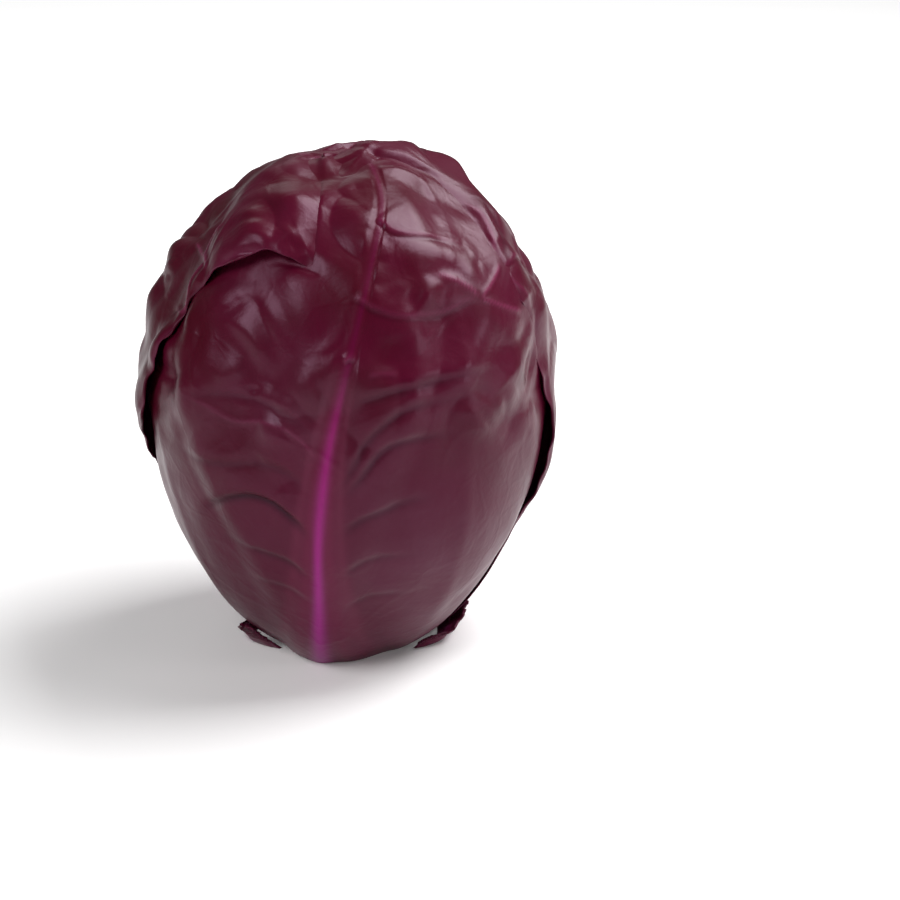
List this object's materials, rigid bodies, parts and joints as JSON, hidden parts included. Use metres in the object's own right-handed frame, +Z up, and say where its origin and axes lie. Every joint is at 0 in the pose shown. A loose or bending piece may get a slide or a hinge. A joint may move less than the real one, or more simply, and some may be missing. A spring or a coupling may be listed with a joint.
{
  "type": "red cabbage head",
  "caption": "Whole head of red cabbage: broad overlapping wrapper leaves with raised midribs folded round a tight ball, on a short stalk cut flat.",
  "frame": {"origin": "middle of the stalk's flat cut face, on the surface the head stands on", "axes": "+Z up through the crown, -Y towards the front leaf's midrib, +X to the right seen from the front"},
  "size_m": [0.1515, 0.1505, 0.1861],
  "materials": {
    "stalk": "dull moist cut stalk, pale",
    "inner_leaf": "waxy leaf, satin",
    "outer_leaf": "waxy dark leaf with a thin bloom, satin"
  },
  "bodies": {
    "root": {"stalk": "stalk", "inner_head": "inner_leaf", "inner_left_leaf": "inner_leaf", "inner_back_leaf": "inner_leaf", "inner_right_leaf": "inner_leaf", "front_leaf": "outer_leaf", "back_left_leaf": "outer_leaf", "back_right_leaf": "outer_leaf", "right_stub": "outer_leaf", "left_stub": "outer_leaf", "back_stub": "outer_leaf"}
  },
  "joints": []
}
